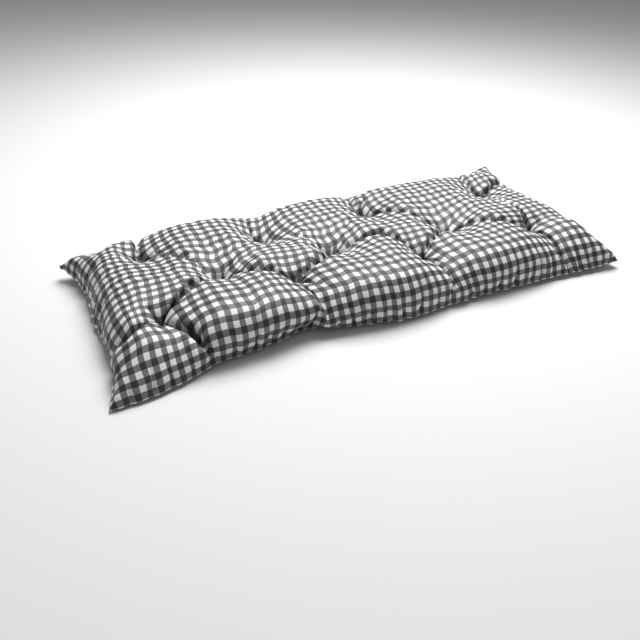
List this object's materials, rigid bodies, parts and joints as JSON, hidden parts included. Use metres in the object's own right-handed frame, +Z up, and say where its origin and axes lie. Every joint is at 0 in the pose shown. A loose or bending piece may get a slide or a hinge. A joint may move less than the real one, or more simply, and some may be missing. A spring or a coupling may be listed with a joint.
{
  "type": "tufted bench cushion",
  "caption": "Long filled seat pad of two checked cotton panels with a knife-edge seam, stitched through in staggered rows so that it swells into pillows; softens a bench seat.",
  "frame": {"origin": "centre of the bounding rectangle of the underside, on the face that rests on the seat", "axes": "+X along the bench to the right as seen from the front, +Y from the front edge to the back edge, +Z up"},
  "size_m": [1.1555, 0.4814, 0.1064],
  "materials": {
    "gingham_cotton": "matte"
  },
  "bodies": {
    "root": {"cushion": "gingham_cotton"}
  },
  "joints": []
}
